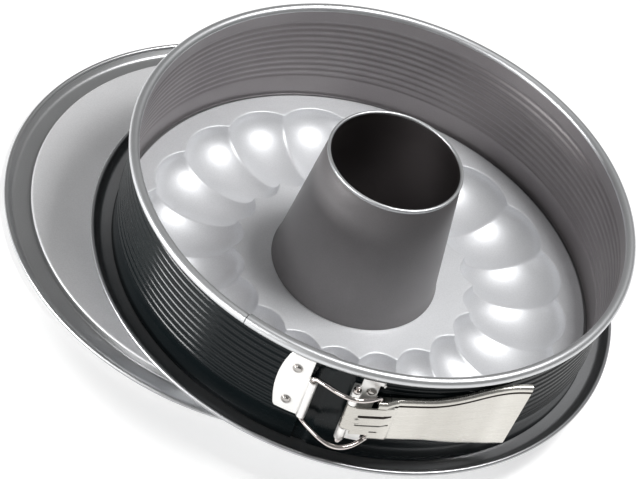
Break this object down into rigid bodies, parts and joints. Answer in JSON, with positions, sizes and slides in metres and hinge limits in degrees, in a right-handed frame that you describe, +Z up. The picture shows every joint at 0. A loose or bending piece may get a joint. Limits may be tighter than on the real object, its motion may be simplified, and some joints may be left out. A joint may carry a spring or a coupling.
{
  "type": "springform tube pan",
  "caption": "Round springform cake pan with a scooped tube base, over-centre lever latch and a second, flat base under it.",
  "frame": {"origin": "middle of the bounding box, on the table under the flat base", "axes": "+Z up along the pan's axis; +X towards the pan's side that overhangs the flat base; the latch is on the -Y side"},
  "size_m": [0.3348, 0.3048, 0.1019],
  "materials": {
    "flat_base": "satin tinned steel",
    "tube_base_floor": "satin tinned steel",
    "center_tube": "dark grey non-stick coating",
    "ring_band_right": "dark non-stick coating",
    "ring_band_left": "dark non-stick coating",
    "hook_plate": "nickel-plated steel",
    "hook_rivet_upper": "nickel-plated steel",
    "hook_rivet_lower": "nickel-plated steel",
    "bail_wire": "nickel-plated steel",
    "lever": "nickel-plated steel",
    "pivot_pin": "nickel-plated steel",
    "hinge_bracket": "nickel-plated steel",
    "bracket_rivet_upper": "nickel-plated steel",
    "bracket_rivet_lower": "nickel-plated steel"
  },
  "bodies": {
    "flat_base": {"flat_base": "flat_base"},
    "tube_base": {"tube_base_floor": "tube_base_floor", "center_tube": "center_tube"},
    "band": {"ring_band_right": "ring_band_right", "hinge_bracket": "hinge_bracket", "bracket_rivet_upper": "bracket_rivet_upper", "bracket_rivet_lower": "bracket_rivet_lower", "pivot_pin": "pivot_pin"},
    "band_end": {"ring_band_left": "ring_band_left", "hook_plate": "hook_plate", "hook_rivet_upper": "hook_rivet_upper", "hook_rivet_lower": "hook_rivet_lower"},
    "lever": {"lever": "lever"},
    "bail": {"bail_wire": "bail_wire"}
  },
  "joints": [
    {"name": "pan_lift", "type": "slide", "parent": "flat_base", "child": "tube_base", "axis": [0, 0, 1], "range_m": [0, 0.12]},
    {"name": "band_lift", "type": "slide", "parent": "tube_base", "child": "band", "axis": [0, 0, 1], "range_m": [0, 0.1]},
    {"name": "lever_hinge", "type": "hinge", "parent": "band", "child": "lever", "pos_m": [0.0471, -0.1454, 0.054], "axis": [0, 0, -1], "range_deg": [0, 120]},
    {"name": "band_opening", "type": "hinge", "parent": "band", "child": "band_end", "pos_m": [0.0255, 0.1247, 0.054], "axis": [0, 0, -1], "range_deg": [0, 2.31]},
    {"name": "bail_hinge", "type": "hinge", "parent": "band_end", "child": "bail", "pos_m": [0.0257, -0.144, 0.054], "axis": [0, 0, -1], "range_deg": [0, 31.4]}
  ],
  "couplings": [
    {"joint": "band_opening", "follows": "lever_hinge", "ratio": 0.019204},
    {"joint": "bail_hinge", "follows": "lever_hinge", "ratio": 0.26143}
  ]
}
